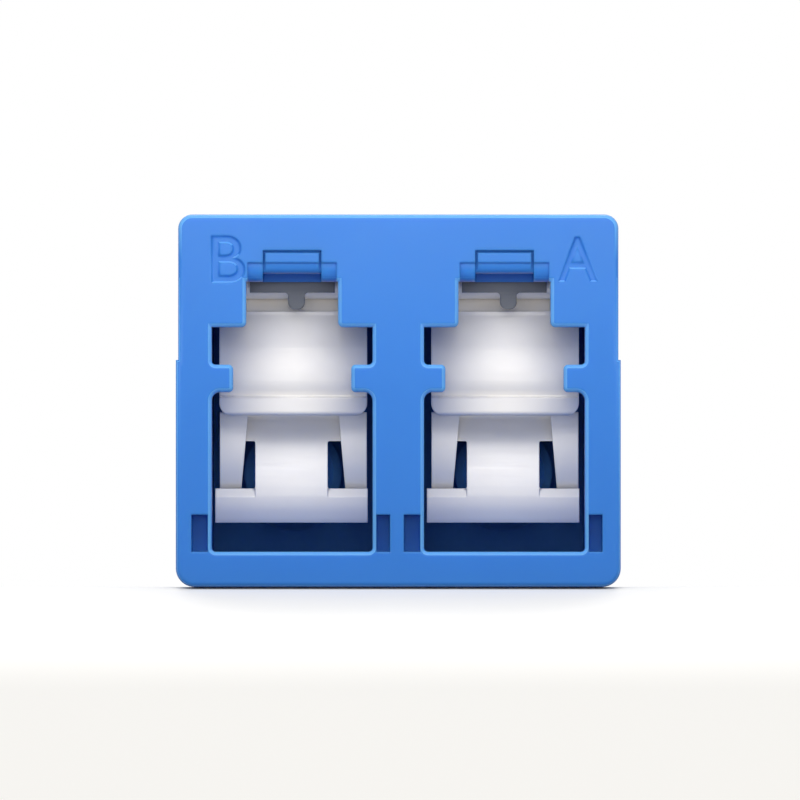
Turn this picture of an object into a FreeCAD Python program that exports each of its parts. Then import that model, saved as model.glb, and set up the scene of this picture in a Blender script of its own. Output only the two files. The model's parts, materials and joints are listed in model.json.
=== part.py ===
import FreeCAD, Part
import math
import os

# Duplex LC fibre adapter with a spring shutter inside each front port. Millimetres.
# +X is to the right as the front face is seen, +Y runs from the front face to the back, +Z is up.
# The origin lies under the middle of the body, on the face that it rests on.

V = FreeCAD.Vector

# Outside of the moulded body
body_width = 13.09
body_length = 27.40
rail_height = 6.68  # the sides stand proud below this height
rail_step = 0.07
top_corner = 0.42
bottom_corner = 0.55
edge_round = 0.15
seam_groove = 0.10

# Walls
end_wall = 2.20  # between a port's mouth and its latch shoulders
floor_wall = 1.035
roof_wall = 0.60
rear_chamber_height = 7.35

# Port mouth: plug window, neck between the side tabs, shoulder slot and latch slot
port_pitch = 6.25
port_width = 4.74
port_height = 4.705
port_foot_corner = 0.12
port_head_corner = 0.25
neck_width = 3.48
neck_height = 0.80
tab_corner = 0.13
shoulder_height = 1.11
shoulder_corner = 0.12
latch_width = 2.71
latch_height = 1.34
latch_corner = 0.15
mouth_bevel = 0.10
lead_in_width = 2.62
lead_in_rise = 0.55
lead_in_depth = 0.52
lead_in_step = 0.10  # behind the face
notch_width = 1.72
notch_rise = 0.91  # above the latch slot
head_wall = 1.06  # above the notch

# Small pockets beside each window's foot
pocket_rim = 0.11
pocket_width_left = 0.48
pocket_width_right = 0.40
pocket_height = 1.09
pocket_depth = 1.20

# Joint between the two halves
spigot_wall = 0.27
spigot_length = 0.80
joint_clearance = 0.03

# Sleeve holders and split sleeves
optical_height = 3.39
flange_thickness = 0.90
flange_height = 7.95
tube_radius = 1.45
tube_length = 4.15  # from the joint to the tip
tube_root_chamfer = 0.25
tube_tip_chamfer = 0.25
sleeve_bore_radius = 0.6245
sleeve_wall = 0.1855
sleeve_length = 6.65
sleeve_slot = 0.30
sleeve_play = 0.05
entry_radius = 0.70  # where a ferrule meets the sleeve
entry_mouth_radius = 1.05
peg_radius = 0.40
peg_length = 0.50
peg_rise = 4.20  # between the two pegs

# Shutter cradle: a plate under the roof, a front tab and two cheeks for the hinge pin
cradle_plate = 0.40
cradle_length = 3.00
cradle_width = 4.60
riser_thickness = 0.40
tab_height = 0.67
tab_groove_width = 0.07
tab_groove_depth = 0.20
tab_roll = 0.27
cheek_thickness = 0.30
cheek_radius = 0.60
stop_rib_height = 0.25
stop_rib_length = 0.40
stop_rib_width = 2.00

# Stop bracket, bent from strip
bracket_thickness = 0.20
bracket_width = 2.50
bracket_gap = 0.05
bracket_bend = 0.25
bracket_reach = 1.55
strip_drop = 0.34  # below the hinge pin
tongue_drop = 0.83
tongue_width = 0.49
tongue_offset = 0.12
tongue_corner = 0.20
tongue_root = 0.10

# Hinge
pin_radius = 0.30
pin_chamfer = 0.05
knuckle_clearance = 0.04
knuckle_wall = 0.18
knuckle_front_gap = 0.18
knuckle_roof_gap = 0.22
knuckle_side_gap = 0.08
neck_setback = 0.12  # behind the crown's upper edge
neck_bend = 0.10
spring_bay = 0.62

# Shutter flap, drawn from sheet: crowned front, nose, side walls and two legs
flap_width = 4.36
flap_shift = 0.025
flap_sheet = 0.20
flap_forward = 0.08  # of the crown, past the knuckle
flap_crown_radius = 8.00  # as seen from above
crown_lean = 0.40
crown_land = 0.10  # upright, at the crown's top
crown_peak_drop = 1.55  # from the crown's top to its foremost line
crown_bow = 3.20
crown_corner = 0.03
crown_land_bow = 0.30
brow_height = 0.32  # above the crease, where the crown starts to draw in
brow_bow = 0.80
flap_drop = 0.87  # from the hinge pin to the crown's top
flap_height = 3.085
flap_back_top = 0.80  # behind the hinge pin
flap_back_foot = 1.33
nose_height = 0.56
nose_corner = 0.36
nose_lean = 0.02
nose_roll = 0.12
nose_shelf = 0.04  # below the crease
crease_depth = 0.14
crease_corner = 0.02
leg_sheet = 0.18
leg_setback = 0.60  # behind the hinge pin
leg_top_setback = 0.20  # behind its foremost
leg_foot_setback = 0.40
leg_knee_height = 0.85  # above its foot
leg_bow = 2.60
leg_outer = 4.34
leg_inner_top = 2.66
leg_inner_foot = 3.10

# Shutter blade behind the flap
blade_width = 4.50
blade_shift = -0.03
blade_sheet = 0.20
blade_lap = 1.90
blade_front = 0.60  # behind the hinge pin, at its foremost
blade_turn_drop = 0.07  # below the nose's underside, where it leaves the flap's back
blade_knee_height = 2.02
blade_bow = 3.80
blade_bend = 0.25
blade_curl = 1.60
blade_curl_rise = 0.45
blade_curl_depth = 0.23
blade_foot_gap = 0.865
bar_height = 1.01
bar_bevel_height = 0.25
bar_bevel_depth = 0.14
window_height = 1.40
window_corner = 0.06
web_width = 2.14
blade_head_width = 4.10
blade_head_corner = 0.30

# Torsion spring on the hinge pin
wire_radius = 0.07
wire_sides = 8  # its round section is drawn with this many
coil_radius = 0.42
coil_length = 0.40
coil_turns = 2
moving_leg_angle = -110.0
fixed_leg_angle = 130.0
moving_leg_length = 0.95
fixed_leg_length = 0.78

# Worked out from the sizes above
half_length = body_length / 2
port_top = floor_wall + port_height
neck_top = port_top + neck_height
shoulder_top = neck_top + shoulder_height
latch_top = shoulder_top + latch_height
lead_in_top = latch_top + lead_in_rise
notch_top = latch_top + notch_rise
body_height = notch_top + head_wall
chamber_top = body_height - roof_wall
port_centres = {"b": -port_pitch / 2, "a": port_pitch / 2}
knuckle_radius = pin_radius + knuckle_clearance + knuckle_wall
bracket_front = end_wall + riser_thickness + bracket_gap
pivot_depth = bracket_front + bracket_thickness + knuckle_front_gap + knuckle_radius
cradle_under = chamber_top - cradle_plate
pivot_height = cradle_under - bracket_thickness - knuckle_roof_gap - knuckle_radius
crown_front = pivot_depth - knuckle_radius - flap_forward
crown_top = pivot_height - flap_drop
nose_bottom = crown_top - flap_height
crown_peak = crown_top - crown_peak_drop
crease = nose_bottom + nose_height
flap_back_slope = (flap_back_foot - flap_back_top) / flap_height
blade_bottom = floor_wall + blade_foot_gap
window_bottom = blade_bottom + bar_height
window_top = window_bottom + window_height
blade_top = nose_bottom + blade_lap
blade_turn = nose_bottom - blade_turn_drop
sleeve_radius = sleeve_bore_radius + sleeve_wall
socket_radius = sleeve_radius + sleeve_play


def front_plane(across, up):
    return V(across, 0, up)


def side_plane(deep, up):
    return V(0, deep, up)


def corner_arc(before, here, after, radius):
    """Where a corner's arc starts, its middle, and where it ends."""
    back = (before - here).normalize()
    on = (after - here).normalize()
    half_angle = back.getAngle(on) / 2
    inward = (back + on).normalize()
    reach = radius / math.tan(half_angle)
    middle = here + inward * (radius / math.sin(half_angle) - radius)
    return here + back * reach, middle, here + on * reach


def rounded_wire(corners, plane, closed=True):
    """A wire through (u, v, radius) corners, each rounded by its own radius."""
    points = [plane(u, v) for u, v, _ in corners]
    last = len(points) - 1
    stops = []
    for i, point in enumerate(points):
        radius = corners[i][2]
        at_end = not closed and i in (0, last)
        if radius > 0 and not at_end:
            after = points[(i + 1) % len(points)]
            stops.append(corner_arc(points[i - 1], point, after, radius))
        else:
            stops.append((point, None, point))
    edges = []
    for i, (start, middle, end) in enumerate(stops):
        if middle is not None:
            edges.append(Part.Arc(start, middle, end).toShape())
        if closed or i < last:
            following = stops[(i + 1) % len(stops)][0]
            if end.distanceToPoint(following) > 1e-6:
                edges.append(Part.LineSegment(end, following).toShape())
    return Part.Wire(edges)


def mirrored(right_half):
    """A whole outline from its right half, listed from bottom to top."""
    return list(right_half) + [(-u, v, r) for u, v, r in reversed(right_half)]


def prism_deep(corners, near, far):
    """An outline seen from the front, from one depth to another."""
    face = Part.Face(rounded_wire(corners, front_plane))
    face.translate(V(0, near, 0))
    return face.extrude(V(0, far - near, 0))


def prism_across(corners, left, right):
    """An outline seen from the side, from one x to another."""
    face = Part.Face(rounded_wire(corners, side_plane))
    face.translate(V(left, 0, 0))
    return face.extrude(V(right - left, 0, 0))


def bent_sheet(corners, thickness, left, right):
    """Sheet bent along a line seen from the side."""
    line = rounded_wire(corners, side_plane, closed=False)
    face = line.makeOffset2D(thickness, 0, True, True, False)
    face.translate(V(left, 0, 0))
    return face.extrude(V(right - left, 0, 0))


def block(left, right, near, far, low, high):
    return Part.makeBox(right - left, far - near, high - low, V(left, near, low))


def rod_deep(radius, near, far, x, z):
    return Part.makeCylinder(radius, far - near, V(x, near, z), V(0, 1, 0))


def rod_across(radius, left, right, y, z):
    return Part.makeCylinder(radius, right - left, V(left, y, z), V(1, 0, 0))


def edges_at_depth(shape, depth):
    """The edges that lie wholly in the plane at one depth."""
    found = []
    for edge in shape.Edges:
        box = edge.BoundBox
        if abs(box.YMin - depth) < 1e-5 and abs(box.YMax - depth) < 1e-5:
            found.append(edge)
    return found


# --- Housing ---


def outside_outline(half_width, low, high, foot, head):
    return mirrored([(half_width, low, foot), (half_width, high, head)])


def half_body():
    """The outside of one half: its face at depth 0 rounded, its joint edge bevelled."""
    rails = outside_outline(body_width / 2, 0, rail_height, bottom_corner, 0)
    narrow = body_width / 2 - rail_step
    upper = outside_outline(narrow, rail_height / 2, body_height, 0, top_corner)
    halves = []
    for outline in (rails, upper):
        solid = prism_deep(outline, 0, half_length)
        solid = solid.makeFillet(edge_round, edges_at_depth(solid, 0))
        solid = solid.makeChamfer(seam_groove, edges_at_depth(solid, half_length))
        halves.append(solid)
    return halves[0].fuse(halves[1]).removeSplitter()


def mouth_outline():
    """A port's opening about its own centre line."""
    wide = port_width / 2
    neck = neck_width / 2
    slot = latch_width / 2
    return mirrored(
        [
            (wide, floor_wall, port_foot_corner),
            (wide, port_top, port_head_corner),
            (neck, port_top, tab_corner),
            (neck, neck_top, tab_corner),
            (wide, neck_top, shoulder_corner),
            (wide, shoulder_top, 0),
            (slot, shoulder_top, latch_corner),
            (slot, latch_top, 0),
        ]
    )


def with_mouths(body):
    """Both port mouths cut through the end wall, their front edges bevelled."""
    for x in port_centres.values():
        mouth = prism_deep(mouth_outline(), -1, end_wall)
        mouth.translate(V(x, 0, 0))
        body = body.cut(mouth)
        near = [e for e in edges_at_depth(body, 0) if inside_port(e.BoundBox, x)]
        body = body.makeChamfer(mouth_bevel, near)
    return body


def inside_port(box, x):
    reach = port_width / 2 + mouth_bevel / 2
    return box.XMin > x - reach and box.XMax < x + reach


def channel(x, height):
    wide = port_width / 2
    return block(x - wide, x + wide, end_wall, half_length, floor_wall, floor_wall + height)


def inset_outline(inset):
    """The upper body's outline, drawn in all round."""
    side = body_width / 2 - rail_step - inset
    return mirrored([(side, inset, 0), (side, body_height - inset, 0)])


def flange_recess():
    side = body_width / 2 - rail_step - roof_wall
    top = roof_wall + flange_height
    near = half_length - flange_thickness
    return block(-side, side, near, half_length, roof_wall, top + joint_clearance)


def lead_in(x):
    """The rounded brow above a latch slot, under which a latch is guided."""
    foot = latch_top - lead_in_depth
    corners = [
        (-1, foot, 0),
        (lead_in_depth, foot, 0),
        (lead_in_depth, latch_top, 0),
        (lead_in_step, latch_top, lead_in_depth - lead_in_step),
        (lead_in_step, lead_in_top, 0),
        (-1, lead_in_top, 0),
    ]
    side = lead_in_width / 2
    return prism_across(corners, x - side, x + side)


def notch(x):
    side = notch_width / 2
    return block(x - side, x + side, -1, end_wall, shoulder_top, notch_top)


def pockets(x):
    left = x - port_width / 2 - pocket_rim
    right = x + port_width / 2 + pocket_rim
    top = floor_wall + pocket_height
    return [
        block(left - pocket_width_left, left, -1, pocket_depth, floor_wall, top),
        block(right, right + pocket_width_right, -1, pocket_depth, floor_wall, top),
    ]


def stop_rib(x):
    """The rib on the roof that the cradle snaps past."""
    near = end_wall + cradle_length
    far = near + stop_rib_length
    low = chamber_top - stop_rib_height
    corners = [
        (near, chamber_top, 0),
        (near, low, 0),
        (far - stop_rib_length / 2, low, 0),
        (far, chamber_top, 0),
    ]
    side = stop_rib_width / 2
    return prism_across(corners, x - side, x + side)


def front_housing():
    body = with_mouths(half_body())
    for x in port_centres.values():
        body = body.cut(channel(x, chamber_top - floor_wall))
        body = body.cut([lead_in(x), notch(x)] + pockets(x))
        body = body.fuse(stop_rib(x))
    body = body.cut(flange_recess())
    far = half_length + spigot_length
    near = half_length - flange_thickness
    ring = prism_deep(inset_outline(roof_wall - spigot_wall), near, far)
    ring = ring.cut(prism_deep(inset_outline(roof_wall), near, far))
    return body.fuse(ring).removeSplitter()


def rear_housing():
    body = with_mouths(half_body())
    for x in port_centres.values():
        body = body.cut(channel(x, rear_chamber_height))
    body = body.cut(flange_recess())
    near = half_length - spigot_length - joint_clearance
    outer = roof_wall - spigot_wall - joint_clearance
    groove = prism_deep(inset_outline(outer), near, half_length)
    groove = groove.cut(prism_deep(inset_outline(roof_wall + joint_clearance), near, half_length))
    return body.cut(groove).removeSplitter()


# --- Sleeve holders and sleeves ---


def holder_tube(x):
    tip = half_length - tube_length
    tube = rod_deep(tube_radius, tip, half_length, x, optical_height)
    return tube.makeChamfer(tube_tip_chamfer, edges_at_depth(tube, tip))


def tube_bore(x):
    """A socket for half the sleeve, and the funnel that leads a ferrule to it."""
    tip = half_length - tube_length
    shelf = half_length - sleeve_length / 2 - sleeve_play
    socket = rod_deep(socket_radius, shelf, half_length, x, optical_height)
    place = V(x, tip, optical_height)
    funnel = Part.makeCone(entry_mouth_radius, entry_radius, shelf - tip, place, V(0, 1, 0))
    return [socket, funnel]


def holder_plate():
    side = body_width / 2 - rail_step - roof_wall - joint_clearance
    low = roof_wall + joint_clearance
    high = roof_wall + flange_height
    return block(-side, side, half_length - flange_thickness, half_length, low, high)


def sleeve_holder():
    holder = holder_plate()
    for x in port_centres.values():
        holder = holder.fuse(holder_tube(x))
    roots = []
    for edge in edges_at_depth(holder, half_length - flange_thickness):
        if edge.Curve.TypeId == "Part::GeomCircle" and abs(edge.Curve.Radius - tube_radius) < 1e-6:
            roots.append(edge)
    holder = holder.makeChamfer(tube_root_chamfer, roots)
    for x in port_centres.values():
        holder = holder.cut(tube_bore(x))
    return holder


def peg_places():
    middle = roof_wall + flange_height / 2
    return [middle - peg_rise / 2, middle + peg_rise / 2]


def sleeve_holder_front():
    holder = sleeve_holder()
    for z in peg_places():
        holder = holder.fuse(rod_deep(peg_radius, half_length - flange_thickness / 2,
                                      half_length + peg_length, 0, z))
    return holder.removeSplitter()


def sleeve_holder_rear():
    holder = sleeve_holder()
    depth = peg_length + joint_clearance
    for z in peg_places():
        hole = rod_deep(peg_radius + joint_clearance, half_length - depth, half_length, 0, z)
        holder = holder.cut(hole)
    return holder


def split_sleeve(x):
    """A zirconia sleeve, centred on the joint, split along its top."""
    near = half_length - sleeve_length / 2
    far = half_length + sleeve_length / 2
    sleeve = rod_deep(sleeve_radius, near, far, x, optical_height)
    sleeve = sleeve.cut(rod_deep(sleeve_bore_radius, near, far, x, optical_height))
    top = optical_height + 2 * sleeve_radius
    slot = block(x - sleeve_slot / 2, x + sleeve_slot / 2, near, far, optical_height, top)
    return sleeve.cut(slot)


# --- Shutter carrier: cradle, bracket and hinge pin ---


def tab_groove():
    """The fine groove that sets the tab's face off from the housing, on three sides."""
    side = notch_width / 2
    face = side - tab_groove_width
    room = block(-side, side, -1, tab_groove_depth, shoulder_top, notch_top)
    return room.cut(block(-face, face, -1, end_wall, 0, notch_top - tab_groove_width))


def shutter_cradle(x):
    plate_side = cradle_width / 2
    tab_side = notch_width / 2
    riser_far = end_wall + riser_thickness
    tab_bottom = notch_top - tab_height
    plate = block(-plate_side, plate_side, end_wall, end_wall + cradle_length,
                  cradle_under, chamber_top)
    riser = block(-tab_side, tab_side, end_wall, riser_far, latch_top, chamber_top)
    tab = prism_across(
        [
            (0, notch_top, 0),
            (0, lead_in_top, 0),
            (lead_in_step, lead_in_top, 0),
            (lead_in_step, tab_bottom, tab_roll),
            (riser_far, tab_bottom, 0),
            (riser_far, notch_top, 0),
        ],
        -tab_side,
        tab_side,
    )
    cradle = plate.fuse([riser, tab.cut(tab_groove())])
    for side in (-1, 1):
        outer = side * plate_side
        inner = side * (plate_side - cheek_thickness)
        left, right = sorted((outer, inner))
        near = pivot_depth - cheek_radius
        far = pivot_depth + cheek_radius
        cheek = block(left, right, near, far, pivot_height, chamber_top)
        round_foot = rod_across(cheek_radius, left, right, pivot_depth, pivot_height)
        cradle = cradle.fuse([cheek, round_foot])
    hole = rod_across(pin_radius, -plate_side, plate_side, pivot_depth, pivot_height)
    cradle = cradle.cut(hole).removeSplitter()
    return placed(cradle, x)


def stop_bracket(x):
    """A strip with a tongue that the shutter closes against, bent back under the cradle."""
    side = bracket_width / 2
    front = bracket_front
    top = cradle_under
    foot = pivot_height - tongue_drop
    bent = bent_sheet(
        [(front, foot, 0), (front, top, bracket_bend), (front + bracket_reach, top, 0)],
        bracket_thickness,
        -side,
        side,
    )
    strip_foot = pivot_height - strip_drop
    left = tongue_offset - tongue_width / 2
    right = tongue_offset + tongue_width / 2
    outline = [
        (-side, strip_foot, 0),
        (left, strip_foot, tongue_root),
        (left, foot, tongue_corner),
        (right, foot, tongue_corner),
        (right, strip_foot, tongue_root),
        (side, strip_foot, 0),
        (side, top + 1, 0),
        (-side, top + 1, 0),
    ]
    cutter = prism_deep(outline, 0, half_length)
    return placed(bent.common(cutter), x)


def hinge_pin(x):
    side = cradle_width / 2
    pin = rod_across(pin_radius, -side, side, pivot_depth, pivot_height)
    ends = [e for e in pin.Edges if e.BoundBox.XLength < 1e-6]
    return placed(pin.makeChamfer(pin_chamfer, ends), x)


def torsion_spring(x):
    """Coil round the pin, one leg under the cradle plate, the other on the flap's top wall."""
    turned = (moving_leg_angle - fixed_leg_angle) % 360 + 360 * coil_turns
    pitch = coil_length * 360 / turned
    helix = Part.makeHelix(pitch, coil_length, coil_radius)
    # the helix winds from X towards Y as it climbs Z: turn it to its start, then lay it along X
    helix.rotate(V(0, 0, 0), V(0, 0, 1), fixed_leg_angle)
    helix.rotate(V(0, 0, 0), V(1, 1, 1), 120)
    helix.translate(V(knuckle_right() + (spring_bay - coil_length) / 2, pivot_depth, pivot_height))
    coil = helix.Edges
    first, last = coil[0], coil[-1]
    start = first.valueAt(first.FirstParameter)
    out = first.tangentAt(first.FirstParameter) * -1
    tip = start + out * fixed_leg_length
    end = last.valueAt(last.LastParameter)
    foot = end + last.tangentAt(last.LastParameter) * moving_leg_length
    line = [Part.LineSegment(tip, start).toShape()] + coil + [Part.LineSegment(end, foot).toShape()]
    return placed(Part.Wire(line).makePipeShell([wire_section(tip, out)], True, True), x)


def wire_section(centre, along):
    """The wire's outline, square to its own line."""
    spoke = along.cross(V(1, 0, 0)).normalize() * wire_radius
    corners = []
    for i in range(wire_sides):
        turn = FreeCAD.Rotation(along, 360 * i / wire_sides)
        corners.append(centre + turn.multVec(spoke))
    return Part.makePolygon(corners + corners[:1])


def knuckle_left():
    return -(cradle_width / 2 - cheek_thickness - knuckle_side_gap)


def knuckle_right():
    return cradle_width / 2 - cheek_thickness - spring_bay


# --- Shutter: flap and blade ---


def flap_back(z):
    """Depth of the flap's back rim, which the blade lies on, at one height."""
    return pivot_depth + flap_back_top + flap_back_slope * (crown_top - z)


def crown_turned(front_line, axis, half_width, low, high, corner):
    """A front line seen from the side, turned about an upright axis and trimmed to a width."""
    face = Part.Face(rounded_wire([(axis, low, 0), (axis, high, 0)] + front_line, side_plane))
    face.rotate(V(0, axis, 0), V(0, 0, 1), -90)
    crown = face.revolve(V(0, axis, 0), V(0, 0, 1), 180)
    outline = mirrored([(half_width, low, corner), (half_width, high, 0)])
    return crown.common(prism_deep(outline, 0, axis))


def flap_outside():
    front_line = [
        (crown_front + crown_lean, crown_top, crown_corner),
        (crown_front + crown_lean, crown_top - crown_land, crown_land_bow),
        (crown_front, crown_peak, crown_bow),
        (crown_front + nose_lean, crease + brow_height, brow_bow),
        (crown_front + crease_depth, crease, crease_corner),
        (crown_front, crease - nose_shelf, crease_corner),
        (crown_front + nose_lean, nose_bottom, nose_roll),
    ]
    axis = crown_front + flap_crown_radius
    return crown_turned(front_line, axis, flap_width / 2, nose_bottom, crown_top, nose_corner)


def flap_hollow():
    """The room behind the drawn front, one sheet thickness in from it and open at the back."""
    low = nose_bottom + flap_sheet
    high = crown_top - flap_sheet
    front = crown_front + flap_sheet
    front_line = [
        (front + crown_lean, high, 0),
        (front, crown_peak, crown_bow - flap_sheet),
        (front + crease_depth, crease, crease_corner),
        (front + crease_depth, low, 0),
    ]
    axis = crown_front + flap_crown_radius
    corner = nose_corner - flap_sheet / 2
    return crown_turned(front_line, axis, flap_width / 2 - flap_sheet, low, high, corner)


def flap_depth_limit():
    """Everything in front of the flap's sloping back rim."""
    low = nose_bottom - 1
    high = crown_top + 1
    corners = [(0, low, 0), (flap_back(low), low, 0), (flap_back(high), high, 0), (0, high, 0)]
    side = flap_width
    return prism_across(corners, -side, side)


def flap_legs():
    top = nose_bottom + flap_sheet / 2
    foot = window_bottom
    front = pivot_depth + leg_setback
    line = [
        (front + leg_top_setback, top, 0),
        (front, foot + leg_knee_height, leg_bow),
        (front + leg_foot_setback, foot, 0),
    ]
    outer = leg_outer / 2
    strip = bent_sheet(line, -leg_sheet, -outer, outer)
    legs = []
    for side in (-1, 1):
        outline = [
            (side * outer, foot - 1, 0),
            (side * outer, top + 1, 0),
            (side * leg_inner_top / 2, top, 0),
            (side * leg_inner_foot / 2, foot - leg_sheet, 0),
        ]
        legs.append(strip.common(prism_deep(outline, 0, half_length)))
    return legs


def shutter_flap(x):
    shell = flap_outside().common(flap_depth_limit()).cut(flap_hollow())
    shell = shell.fuse(flap_legs())
    shell.translate(V(flap_shift, 0, 0))
    near = crown_front + crown_lean + neck_setback
    far = pivot_depth + knuckle_radius - knuckle_wall
    left, right = knuckle_left(), knuckle_right()
    neck_line = [
        (near, crown_top - flap_sheet / 4, 0),
        (far, crown_top + far - near, neck_bend),
        (far, pivot_height, 0),
    ]
    neck = bent_sheet(neck_line, knuckle_wall, left, right)
    knuckle = rod_across(knuckle_radius, left, right, pivot_depth, pivot_height)
    bore = pin_radius + knuckle_clearance
    hole = rod_across(bore, left - 1, right + 1, pivot_depth, pivot_height)
    return placed(shell.fuse([neck, knuckle]).cut(hole).removeSplitter(), x)


def blade_outline():
    bar = blade_width / 2
    head = blade_head_width / 2
    web = web_width / 2
    return mirrored(
        [
            (bar, blade_bottom - 1, 0),
            (bar, window_bottom, 0),
            (web, window_bottom, window_corner),
            (web, window_top, window_corner),
            (head, window_top, 0),
            (head, blade_top, blade_head_corner),
        ]
    )


def shutter_blade(x):
    """A plate on the flap's back, bowed forward below it to a bar with a curled foot."""
    front = pivot_depth + blade_front
    side = blade_width / 2
    line = [
        (flap_back(blade_top), blade_top, 0),
        (flap_back(blade_turn), blade_turn, blade_bend),
        (front, blade_bottom + blade_knee_height, blade_bow),
        (front, blade_bottom + blade_curl_rise, blade_curl),
        (front + blade_curl_depth, blade_bottom, 0),
    ]
    blade = bent_sheet(line, -blade_sheet, -side, side)
    blade = blade.common(prism_deep(blade_outline(), 0, half_length))
    bevel = [
        (front - bar_bevel_depth, window_bottom - bar_bevel_height, 0),
        (front, window_bottom - bar_bevel_height, 0),
        (front + bar_bevel_depth, window_bottom, 0),
        (front - bar_bevel_depth, window_bottom, 0),
    ]
    for left, right in ((-side, -web_width / 2), (web_width / 2, side)):
        blade = blade.cut(prism_across(bevel, left, right))
    return placed(blade, x + blade_shift)


def placed(shape, x):
    moved = shape.copy()
    moved.translate(V(x, 0, 0))
    return moved


# --- Assembly ---


def facing_front(shape):
    """From depth behind the front face to the part's own frame."""
    moved = shape.copy()
    moved.translate(V(0, -half_length, 0))
    return moved


def facing_rear(shape):
    moved = facing_front(shape)
    moved.rotate(V(0, 0, 0), V(0, 0, 1), 180)
    return moved


def build():
    nodes = {
        "front_housing": facing_front(front_housing()),
        "rear_housing": facing_rear(rear_housing()),
        "sleeve_holder_front": facing_front(sleeve_holder_front()),
        "sleeve_holder_rear": facing_rear(sleeve_holder_rear()),
    }
    makers = {
        "split_sleeve": split_sleeve,
        "shutter_cradle": shutter_cradle,
        "stop_bracket": stop_bracket,
        "hinge_pin": hinge_pin,
        "torsion_spring": torsion_spring,
        "shutter_flap": shutter_flap,
        "shutter_blade": shutter_blade,
    }
    for port, x in port_centres.items():
        for name, make in makers.items():
            nodes[name + "_" + port] = facing_front(make(x))
    return nodes


def main():
    os.makedirs("parts", exist_ok=True)
    for name, shape in build().items():
        shape.exportStep("parts/" + name + ".step")


main()
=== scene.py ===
import json
import math

import bmesh
import bpy
from mathutils import Matrix, Vector


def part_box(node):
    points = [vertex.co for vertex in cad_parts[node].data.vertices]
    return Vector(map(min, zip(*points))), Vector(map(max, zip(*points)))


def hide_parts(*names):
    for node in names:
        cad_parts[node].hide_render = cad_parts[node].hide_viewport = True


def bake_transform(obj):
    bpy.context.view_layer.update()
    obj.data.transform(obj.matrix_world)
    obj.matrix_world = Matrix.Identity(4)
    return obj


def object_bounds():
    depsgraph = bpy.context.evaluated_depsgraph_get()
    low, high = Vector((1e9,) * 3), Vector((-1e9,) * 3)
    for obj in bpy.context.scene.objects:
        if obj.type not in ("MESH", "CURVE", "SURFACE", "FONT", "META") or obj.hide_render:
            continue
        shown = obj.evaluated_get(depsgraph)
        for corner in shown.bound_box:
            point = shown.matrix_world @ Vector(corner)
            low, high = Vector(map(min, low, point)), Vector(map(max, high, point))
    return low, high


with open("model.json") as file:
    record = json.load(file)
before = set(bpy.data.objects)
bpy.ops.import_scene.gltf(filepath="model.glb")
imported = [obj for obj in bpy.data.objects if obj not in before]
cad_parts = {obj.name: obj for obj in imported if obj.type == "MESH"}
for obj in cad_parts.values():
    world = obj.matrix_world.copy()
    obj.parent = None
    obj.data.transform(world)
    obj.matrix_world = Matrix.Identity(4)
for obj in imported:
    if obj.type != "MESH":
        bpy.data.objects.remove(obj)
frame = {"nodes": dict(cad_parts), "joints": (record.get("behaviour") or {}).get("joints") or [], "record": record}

cad_low, cad_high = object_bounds()

# Looks of a duplex fibre adapter with a sprung shutter in each front port.
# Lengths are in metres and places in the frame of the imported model, where the front face looks along -Y.

MM = 0.001
FRONT, SIDE, TOP = cad_low.y, cad_high.x, cad_high.z

# Camera: square on to the front face, from far off and at floor height, so the floor lies edge-on
LENS = 1600.0  # in millimetres, as Blender has it
SENSOR = 36.0  # likewise
VIEW_WIDTH = 23.53 * MM  # what the picture takes in at the front face
VIEW_OFFSET = 0.05 * MM
VIEW_HEIGHT = 5.50 * MM  # of the point it looks at
CLIP_START = 0.01
CLIP_END = 10.0

# Light: an even level all round, two soft lights from above, a strip close in front, and a lower light
# that reaches into the ports and leaves no highlight
AMBIENT = 0.55
STRIP_PLACE = (0.0, FRONT - 12.5 * MM, 12.5 * MM)
STRIP_AIM = (0.0, FRONT, 6.0 * MM)
LIGHTS = {
    "key": dict(place=(0.0, 0.25, 0.35), size=(0.30, 0.30), watts=0.80),
    "fill": dict(place=(0.0, -0.35, 0.30), size=(0.30, 0.30), watts=0.32),
    "strip": dict(place=STRIP_PLACE, size=(0.030, 0.006), watts=0.00155, aim=STRIP_AIM),
    "port_light": dict(place=(0.0, -0.45, 0.035), size=(0.04, 0.10), watts=0.25, glints=False),
}

# Floor: level under the part, falling gently away from just behind its front edge
FLOOR_REACH = 0.10
FLOOR_EDGE = 0.6 * MM
FLOOR_FALL = math.radians(8.0)
FLOOR_PALE = (0.25, 0.25, 0.25)  # as it lights the part
FLOOR_SEEN = (1.0, 0.985, 0.95)  # to the camera and in reflections
FLOOR_ROUGHNESS = 0.9

# Engraved port letters. Their walls lean in from a narrow upright band at the face.
LETTER_Z = TOP - 1.32 * MM
LETTER_DEPTH = 0.06 * MM  # of the leaning walls
LETTER_FLARE = 0.045 * MM  # how far they lean
LETTER_BAND = 0.01 * MM
LETTER_THINNING = 0.02 * MM  # of the strokes, at their floor
CAPITAL_SHARE = 0.73  # of the type's size
LETTERS = {
    "B": dict(centre_x=1.545 * MM - SIDE, width=1.00 * MM, height=1.39 * MM),
    "A": dict(centre_x=SIDE - 1.265 * MM, width=1.16 * MM, height=1.32 * MM),
}

# Torsion springs, wound from round wire
WIRE_RADIUS = 0.07 * MM
COIL_RADIUS = 0.42 * MM
COIL_TURNS = 2
FIXED_LEG_ANGLE = math.radians(130.0)
MOVING_LEG_ANGLE = math.radians(-110.0)
FIXED_LEG = 0.78 * MM
MOVING_LEG = 0.95 * MM
WIRE_SIDES = 16
STEPS_PER_TURN = 48

# Points nearer to each other than this are one
SAME_POINT = 0.001 * MM

# Painted highlights: a paler colour laid on edges and walls where light would catch them. A FACING is the Y of
# the surface's normal, which is -1 on the front face itself, and a TURN is how far off it still counts.
BEVEL_FACING = -math.sqrt(0.5)  # 45 degrees

# A painted highlight on the bevels round the ports, up to a height
PORT_EDGE_TURN = 0.04
PORT_EDGE_TOP = TOP - 1.86 * MM
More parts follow.
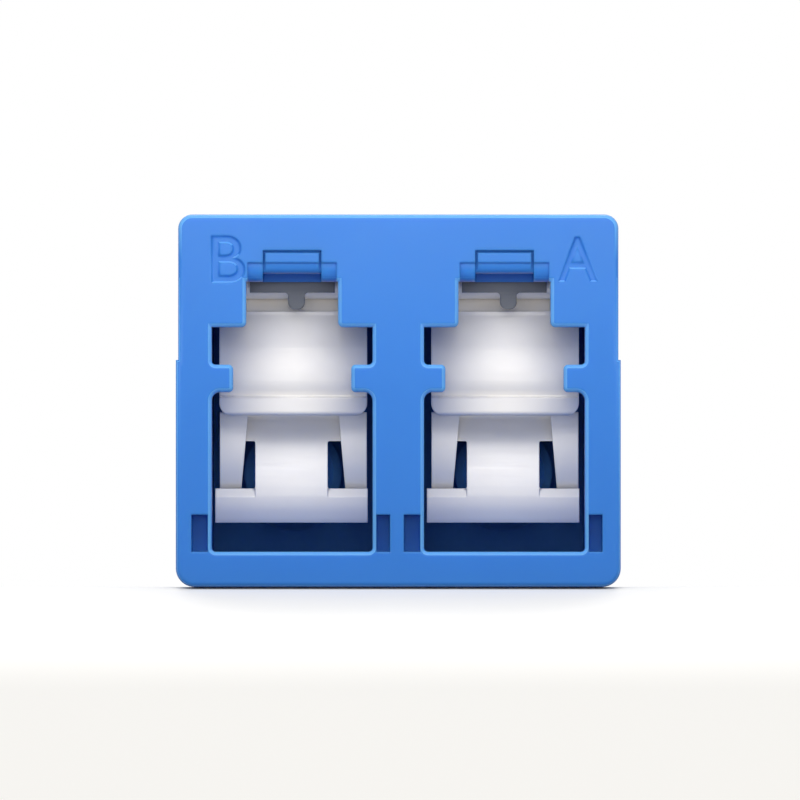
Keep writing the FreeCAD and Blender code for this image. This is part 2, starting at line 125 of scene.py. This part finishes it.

# A painted highlight on the front's rounded outer edge, which grows paler from foot to head. It lies farther out
# or higher than BODY_EDGE_X and BODY_EDGE_Z, and the letters don't.
BODY_EDGE_TURN = 0.26
BODY_EDGE_FOOT = TOP - 1.36 * MM
BODY_EDGE_HEAD = TOP - 0.26 * MM
BODY_EDGE_X = SIDE - 0.445 * MM
BODY_EDGE_Z = TOP - 0.46 * MM

# A painted highlight on the letters' walls where they look up, above a height. WALL_UP is the least Z of
# their normal.
WALL_FACING = -LETTER_FLARE / math.hypot(LETTER_FLARE, LETTER_DEPTH)
WALL_TURN = 0.06
WALL_UP = 0.50
WALL_FOOT = TOP - 2.16 * MM

# Colours: each finish drifts between two tones
BLUE = ((0.031, 0.205, 0.660), (0.033, 0.213, 0.680))
# A paler blue painted on the housing's edges: a painted highlight
BLUE_PAINTED_HIGHLIGHT = (0.13, 0.40, 0.88)
# Paler than the housing's blue: partly the holders' own blue, partly painted light that lifts the shade deep in
# the ports
INNER_BLUE = ((0.080, 0.305, 0.90), (0.085, 0.315, 0.92))
# A paler blue painted on the holders' edges: a painted highlight
INNER_BLUE_PAINTED_HIGHLIGHT = (0.12, 0.38, 0.94)
SHUTTER_WHITE = ((0.95, 0.915, 0.86), (0.97, 0.94, 0.885))
# Far darker than the other steels: partly the bracket's own grey, partly painted shade for the shade it sits in
BRACKET_GREY = ((0.120, 0.130, 0.150), (0.138, 0.148, 0.168))
PIN_GREY = ((0.50, 0.50, 0.52), (0.56, 0.56, 0.58))
WIRE_GREY = ((0.42, 0.42, 0.44), (0.52, 0.52, 0.54))
ZIRCONIA_WHITE = ((0.82, 0.80, 0.74), (0.90, 0.88, 0.83))

# Plastic: clouds of tone, blotches of gloss, a fine grain, soft edges, a highlight painted on the edges,
# and light that sinks in
PLASTICS = {
    "housing_plastic": dict(tones=BLUE, edge=BLUE_PAINTED_HIGHLIGHT, roughness=(0.37, 0.42)),
    "cradle_plastic": dict(tones=BLUE, edge=BLUE_PAINTED_HIGHLIGHT, roughness=(0.37, 0.42)),
    "holder_plastic": dict(tones=INNER_BLUE, edge=INNER_BLUE_PAINTED_HIGHLIGHT, roughness=(0.45, 0.58)),
}
PLASTIC_CLOUD = 2.4 * MM
PLASTIC_BLOTCH = 0.6 * MM
PLASTIC_GRAIN = 0.09 * MM
PLASTIC_GRAIN_DEPTH = 0.0007 * MM
PLASTIC_ROUNDING = 0.09 * MM
PLASTIC_SPECULAR = 0.35
SINKING_SHARE = 0.35
SINKING_DEPTH = 0.9 * MM
SINKING_COLOURS = (0.25, 0.55, 1.0)  # red, green and blue light, as shares of the depth

# Steel: clouds of tone, and fine lines that run along X on sheet and pins
SHEET_GRAIN = (1.6 * MM, 0.05 * MM, 0.05 * MM)
WIRE_GRAIN = (0.05 * MM, 0.05 * MM, 0.05 * MM)
STEELS = {
    "shutter_steel": dict(tones=SHUTTER_WHITE, metallic=0.44, roughness=(0.52, 0.60), grain=SHEET_GRAIN),
    "bracket_steel": dict(tones=BRACKET_GREY, metallic=0.60, roughness=(0.42, 0.52), grain=SHEET_GRAIN),
    "pin_steel": dict(tones=PIN_GREY, metallic=0.90, roughness=(0.22, 0.32), grain=SHEET_GRAIN),
    "spring_wire": dict(tones=WIRE_GREY, metallic=0.90, roughness=(0.24, 0.34), grain=WIRE_GRAIN),
}
STEEL_CLOUD = 0.9 * MM
STEEL_GRAIN_DEPTH = 0.00012 * MM
STEEL_ROUNDING = 0.04 * MM

# Zirconia
CERAMICS = {"sleeve_zirconia": dict(tones=ZIRCONIA_WHITE, roughness=(0.10, 0.18))}
ZIRCONIA_CLOUD = 0.5 * MM
ZIRCONIA_GRAIN = 0.05 * MM
ZIRCONIA_GRAIN_DEPTH = 0.0002 * MM
ZIRCONIA_ROUNDING = 0.03 * MM
ZIRCONIA_IOR = 2.1

# The part of a noise's range that its values fill
NOISE_SPAN = (0.3, 0.7)
ROUNDING_SAMPLES = 6


def new_object(name, data):
    """An object for a mesh, a light or a camera, in the scene."""
    made = bpy.data.objects.new(name, data)
    bpy.context.scene.collection.objects.link(made)
    return made


# --- Shader nodes ---


def shader_of(name):
    """A new material, its node tree and its shader."""
    material = bpy.data.materials.new(name)
    material.use_nodes = True
    tree = material.node_tree
    return material, tree, tree.nodes["Principled BSDF"]


def feed(tree, value, socket):
    """Sets a socket to a number or a colour, or links another node's socket to it."""
    if isinstance(value, bpy.types.NodeSocket):
        tree.links.new(value, socket)
    elif isinstance(value, tuple):
        socket.default_value = (*value, 1)
    else:
        socket.default_value = value


def math_node(tree, operation, *terms):
    """The result of an operation on numbers and sockets."""
    node = tree.nodes.new("ShaderNodeMath")
    node.operation = operation
    for slot, term in enumerate(terms):
        feed(tree, term, node.inputs[slot])
    return node.outputs["Value"]


def product(tree, first, *others):
    """Some sockets multiplied together."""
    for other in others:
        first = math_node(tree, "MULTIPLY", first, other)
    return first


def largest(tree, first, *others):
    """The largest of some sockets."""
    for other in others:
        first = math_node(tree, "MAXIMUM", first, other)
    return first


def remapped(tree, value, source, target):
    """A value moved from one range to another, and kept inside it."""
    node = tree.nodes.new("ShaderNodeMapRange")
    node.inputs["From Min"].default_value, node.inputs["From Max"].default_value = source
    node.inputs["To Min"].default_value, node.inputs["To Max"].default_value = target
    tree.links.new(value, node.inputs["Value"])
    return node.outputs["Result"]


def object_noise(tree, size, detail):
    """Noise fixed to the piece. size is its grain in metres, one number or one for each axis."""
    place = tree.nodes.new("ShaderNodeTexCoord")
    stretch = tree.nodes.new("ShaderNodeMapping")
    noise = tree.nodes.new("ShaderNodeTexNoise")
    sizes = (size, size, size) if isinstance(size, float) else size
    stretch.inputs["Scale"].default_value = [1 / s for s in sizes]
    noise.inputs["Scale"].default_value = 1.0
    noise.inputs["Detail"].default_value = detail
    tree.links.new(place.outputs["Object"], stretch.inputs["Vector"])
    tree.links.new(stretch.outputs["Vector"], noise.inputs["Vector"])
    return noise.outputs["Fac"]


def two_tones(tree, noise, tones):
    """A colour that drifts between two tones with a noise."""
    ramp = tree.nodes.new("ShaderNodeValToRGB")
    for element, position, tone in zip(ramp.color_ramp.elements, NOISE_SPAN, tones):
        element.position = position
        element.color = (*tone, 1)
    tree.links.new(noise, ramp.inputs["Fac"])
    return ramp.outputs["Color"]


def blended(tree, share, plain, other):
    """A colour that turns into another as share goes from 0 to 1."""
    mix = tree.nodes.new("ShaderNodeMix")
    mix.data_type = "RGBA"
    tree.links.new(share, mix.inputs["Factor"])
    feed(tree, plain, mix.inputs["A"])
    feed(tree, other, mix.inputs["B"])
    return mix.outputs["Result"]


def add_relief(tree, shader, height, depth, rounding):
    """Gives a surface edges softened to a radius, and a relief of a depth over them."""
    soft = tree.nodes.new("ShaderNodeBevel")
    soft.samples = ROUNDING_SAMPLES
    soft.inputs["Radius"].default_value = rounding
    bump = tree.nodes.new("ShaderNodeBump")
    bump.inputs["Distance"].default_value = depth
    tree.links.new(height, bump.inputs["Height"])
    tree.links.new(soft.outputs["Normal"], bump.inputs["Normal"])
    tree.links.new(bump.outputs["Normal"], shader.inputs["Normal"])


def by_axis(tree, vector):
    """The X, Y and Z of a vector, as sockets."""
    split = tree.nodes.new("ShaderNodeSeparateXYZ")
    tree.links.new(vector, split.inputs["Vector"])
    return split.outputs


def painted_highlight_share(tree):
    """1 where a highlight is painted, on the ports' bevels, the front's upper edge and the letters' lower walls,
    and 0 elsewhere.

    One flank of the groove at the housing's seam leans at 45 degrees too, so the highlight is painted on it with
    the bevels.
    """
    surface = tree.nodes.new("ShaderNodeNewGeometry")
    normal = by_axis(tree, surface.outputs["True Normal"])
    place = by_axis(tree, surface.outputs["Position"])

    port_edge = math_node(tree, "COMPARE", normal["Y"], BEVEL_FACING, PORT_EDGE_TURN)
    low = math_node(tree, "LESS_THAN", place["Z"], PORT_EDGE_TOP)

    body_edge = math_node(tree, "COMPARE", normal["Y"], BEVEL_FACING, BODY_EDGE_TURN)
    aside = math_node(tree, "GREATER_THAN", math_node(tree, "ABSOLUTE", place["X"]), BODY_EDGE_X)
    above = math_node(tree, "GREATER_THAN", place["Z"], BODY_EDGE_Z)
    # The painted highlight on the body's edge grows stronger from foot to head
    rise = remapped(tree, place["Z"], (BODY_EDGE_FOOT, BODY_EDGE_HEAD), (0.0, 1.0))

    wall = math_node(tree, "COMPARE", normal["Y"], WALL_FACING, WALL_TURN)
    upward = math_node(tree, "GREATER_THAN", normal["Z"], WALL_UP)
    high = math_node(tree, "GREATER_THAN", place["Z"], WALL_FOOT)

    return largest(
        tree,
        product(tree, port_edge, low),
        product(tree, body_edge, largest(tree, aside, above), rise),
        product(tree, wall, upward, high),
    )


# --- Materials ---


def moulded_plastic(name, tones, edge, roughness):
    """Fine-grained plastic that lets a little light in, with a highlight painted on its edges."""
    material, tree, shader = shader_of(name)
    cloud = object_noise(tree, PLASTIC_CLOUD, detail=4.0)
    # edge is the colour of the highlight painted on the edges
    colour = blended(tree, painted_highlight_share(tree), two_tones(tree, cloud, tones), edge)
    tree.links.new(colour, shader.inputs["Base Color"])
    blotch = object_noise(tree, PLASTIC_BLOTCH, detail=3.0)
    tree.links.new(remapped(tree, blotch, NOISE_SPAN, roughness), shader.inputs["Roughness"])
    shader.inputs["Specular IOR Level"].default_value = PLASTIC_SPECULAR
    shader.inputs["Subsurface Weight"].default_value = SINKING_SHARE
    shader.inputs["Subsurface Radius"].default_value = SINKING_COLOURS
    shader.inputs["Subsurface Scale"].default_value = SINKING_DEPTH
    grain = object_noise(tree, PLASTIC_GRAIN, detail=2.0)
    add_relief(tree, shader, grain, PLASTIC_GRAIN_DEPTH, PLASTIC_ROUNDING)
    return material


def pressed_steel(name, tones, metallic, roughness, grain):
    """Satin sheet, pin or wire, with fine lines along the longest side of its grain."""
    material, tree, shader = shader_of(name)
    shader.inputs["Metallic"].default_value = metallic
    cloud = object_noise(tree, STEEL_CLOUD, detail=3.0)
    tree.links.new(two_tones(tree, cloud, tones), shader.inputs["Base Color"])
    lines = object_noise(tree, grain, detail=2.0)
    tree.links.new(remapped(tree, lines, NOISE_SPAN, roughness), shader.inputs["Roughness"])
    add_relief(tree, shader, lines, STEEL_GRAIN_DEPTH, STEEL_ROUNDING)
    return material


def polished_zirconia(name, tones, roughness):
    """Glossy ceramic with a trace of grain."""
    material, tree, shader = shader_of(name)
    cloud = object_noise(tree, ZIRCONIA_CLOUD, detail=3.0)
    tree.links.new(two_tones(tree, cloud, tones), shader.inputs["Base Color"])
    tree.links.new(remapped(tree, cloud, NOISE_SPAN, roughness), shader.inputs["Roughness"])
    shader.inputs["IOR"].default_value = ZIRCONIA_IOR
    grain = object_noise(tree, ZIRCONIA_GRAIN, detail=2.0)
    add_relief(tree, shader, grain, ZIRCONIA_GRAIN_DEPTH, ZIRCONIA_ROUNDING)
    return material


def make_materials():
    """A material for each slot of the record."""
    makers = ((moulded_plastic, PLASTICS), (pressed_steel, STEELS), (polished_zirconia, CERAMICS))
    return {name: make(name, **looks) for make, finishes in makers for name, looks in finishes.items()}


def dress_cad(materials):
    """Gives each CAD node its slot's material."""
    for row in frame["record"]["subparts"]:
        slots = frame["nodes"][row["node"]].data.materials
        slots.clear()
        slots.append(materials[row["material_slot"]])


# --- Engraved letters ---


def letter_solid(letter, centre_x, width, height, front):
    """A letter as a closed solid, widest where it passes through the front face."""
    curve = bpy.data.curves.new("letter_" + letter, "FONT")
    curve.body = letter
    curve.size = height / CAPITAL_SHARE
    curve.offset = -LETTER_THINNING
    curve.extrude = LETTER_BAND
    curve.bevel_depth = LETTER_FLARE
    curve.bevel_resolution = 0
    writer = bpy.data.objects.new("letter_" + letter, curve)
    mesh = bpy.data.meshes.new_from_object(writer)
    bpy.data.objects.remove(writer)
    xs = [v.co.x for v in mesh.vertices]
    ys = [v.co.y for v in mesh.vertices]
    middle = Vector(((min(xs) + max(xs)) / 2, (min(ys) + max(ys)) / 2, 0))
    steepness = LETTER_DEPTH / LETTER_FLARE
    scale = (width / (max(xs) - min(xs)), height / (max(ys) - min(ys)), steepness, 1)
    upright = Matrix.Rotation(math.radians(90), 4, "X")
    place = Matrix.Translation((centre_x, front, LETTER_Z))
    mesh.transform(place @ upright @ Matrix.Diagonal(scale) @ Matrix.Translation(-middle))
    shape = bmesh.new()
    shape.from_mesh(mesh)
    bmesh.ops.remove_doubles(shape, verts=shape.verts, dist=SAME_POINT)
    bmesh.ops.recalc_face_normals(shape, faces=shape.faces)
    shape.to_mesh(mesh)
    shape.free()
    return mesh


def engrave_letters():
    """Cuts the port letters into the front face."""
    body = frame["nodes"]["front_housing"]
    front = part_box("front_housing")[0].y
    weld = body.modifiers.new("weld", "WELD")
    weld.merge_threshold = SAME_POINT
    for letter, sizes in LETTERS.items():
        cutter = new_object("cutter_" + letter, letter_solid(letter, front=front, **sizes))
        cutter.hide_render = True
        cut = body.modifiers.new("engrave_" + letter, "BOOLEAN")
        cut.operation = "DIFFERENCE"
        cut.solver = "EXACT"
        cut.use_self = True  # a letter's walls can cross where its strokes meet
        cut.object = cutter


# --- Torsion springs ---


def spring_line(low_x, high_x, pivot_y, pivot_z):
    """The wire's centre line: fixed leg, coil and moving leg."""
    turned = (MOVING_LEG_ANGLE - FIXED_LEG_ANGLE) % math.tau + math.tau * COIL_TURNS
    steps = round(turned / math.tau * STEPS_PER_TURN)
    coil = []
    for i in range(steps + 1):
        share = i / steps
        angle = FIXED_LEG_ANGLE + turned * share
        y = pivot_y + COIL_RADIUS * math.cos(angle)
        z = pivot_z + COIL_RADIUS * math.sin(angle)
        coil.append(Vector((low_x + (high_x - low_x) * share, y, z)))
    start = (coil[0] - coil[1]).normalized() * FIXED_LEG
    end = (coil[-1] - coil[-2]).normalized() * MOVING_LEG
    return [coil[0] + start] + coil + [coil[-1] + end]


def wire_ring(shape, before, point, after):
    """A ring of vertices round a point of a wire's line, square to the line."""
    across = Vector((1, 0, 0))
    along = (after - before).normalized()
    side = (across - along * across.dot(along)).normalized()
    up = along.cross(side)
    ring = []
    for k in range(WIRE_SIDES):
        turn = math.tau * k / WIRE_SIDES
        spoke = side * math.cos(turn) + up * math.sin(turn)
        ring.append(shape.verts.new(point + spoke * WIRE_RADIUS))
    return ring


def wire_mesh(name, line):
    """Round wire along a line, with closed ends."""
    shape = bmesh.new()
    neighbours = zip(line[:1] + line[:-1], line, line[1:] + line[-1:])
    rings = [wire_ring(shape, before, point, after) for before, point, after in neighbours]
    for ring, following in zip(rings, rings[1:]):
        for k in range(WIRE_SIDES):
            n = (k + 1) % WIRE_SIDES
            face = shape.faces.new((ring[k], ring[n], following[n], following[k]))
            face.smooth = True
    shape.faces.new(reversed(rings[0]))
    shape.faces.new(rings[-1])
    bmesh.ops.recalc_face_normals(shape, faces=shape.faces)
    mesh = bpy.data.meshes.new(name)
    shape.to_mesh(mesh)
    shape.free()
    return mesh


def wind_springs(material):
    """A wound spring for each shutter, round its pivot, in place of the CAD spring."""
    for joint in frame["joints"]:
        port = joint["child"].removeprefix("shutter_")
        node = "torsion_spring_" + port
        name = "wound_spring_" + port
        low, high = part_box(node)
        low_x, high_x = low.x + WIRE_RADIUS, high.x - WIRE_RADIUS
        _, pivot_y, pivot_z = joint["pos_m"]
        mesh = wire_mesh(name, spring_line(low_x, high_x, pivot_y, pivot_z))
        mesh.materials.append(material)
        spring = new_object(name, mesh)
        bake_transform(spring)
        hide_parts(node)


# --- Stage ---


def ray_is(tree, *kinds):
    """1 for a ray of any of these kinds, 0 for others."""
    path = tree.nodes.new("ShaderNodeLightPath")
    return largest(tree, *[path.outputs[f"Is {kind} Ray"] for kind in kinds])


def make_world():
    """White to the camera and in reflections, and a plain level of light otherwise."""
    world = bpy.data.worlds.new("studio")
    world.use_nodes = True
    tree = world.node_tree
    background = tree.nodes["Background"]
    seen = ray_is(tree, "Camera", "Glossy", "Transmission")
    level = remapped(tree, seen, (0.0, 1.0), (AMBIENT, 1.0))
    tree.links.new(level, background.inputs["Strength"])
    background.inputs["Color"].default_value = (1, 1, 1, 1)
    bpy.context.scene.world = world


def make_floor():
    """A pale floor, white to the camera and in reflections where nothing shades it."""
    edge = FRONT + FLOOR_EDGE
    drop = (FLOOR_REACH + edge) * math.tan(FLOOR_FALL)
    line = [(FLOOR_REACH, 0.0), (edge, 0.0), (-FLOOR_REACH, -drop)]
    verts = [(side * FLOOR_REACH, y, z) for y, z in line for side in (-1, 1)]
    mesh = bpy.data.meshes.new("floor")
    mesh.from_pydata(verts, [], [(0, 1, 3, 2), (2, 3, 5, 4)])
    material, tree, shader = shader_of("floor")
    shader.inputs["Roughness"].default_value = FLOOR_ROUGHNESS
    shader.inputs["Specular IOR Level"].default_value = 0.0
    colour = blended(tree, ray_is(tree, "Camera", "Glossy"), FLOOR_PALE, FLOOR_SEEN)
    tree.links.new(colour, shader.inputs["Base Color"])
    mesh.materials.append(material)
    new_object("floor", mesh)


def soft_light(name, place, size, watts, aim=(0, 0, 0), glints=True):
    """A soft light that the camera doesn't see, and that may leave no highlight of its own."""
    data = bpy.data.lights.new(name, "AREA")
    data.shape = "RECTANGLE"
    data.size, data.size_y = size
    data.energy = watts
    light = new_object(name, data)
    light.visible_camera = False
    light.visible_glossy = glints
    light.location = place
    toward = Vector(aim) - light.location
    light.rotation_euler = toward.to_track_quat("-Z", "Y").to_euler()


def make_camera():
    """A long lens far in front of the part."""
    data = bpy.data.cameras.new("camera")
    data.lens = LENS
    data.sensor_width = SENSOR
    data.clip_start = CLIP_START
    data.clip_end = CLIP_END
    camera = new_object("camera", data)
    away = VIEW_WIDTH * LENS / SENSOR
    camera.location = (VIEW_OFFSET, FRONT - away, 0)
    toward = Vector((0, away, VIEW_HEIGHT))
    camera.rotation_euler = toward.to_track_quat("-Z", "Y").to_euler()
    bpy.context.scene.camera = camera


materials = make_materials()
dress_cad(materials)
engrave_letters()
wind_springs(materials["spring_wire"])
make_world()
make_floor()
for name, settings in LIGHTS.items():
    soft_light(name, **settings)
make_camera()
bpy.context.scene.view_settings.view_transform = "Standard"
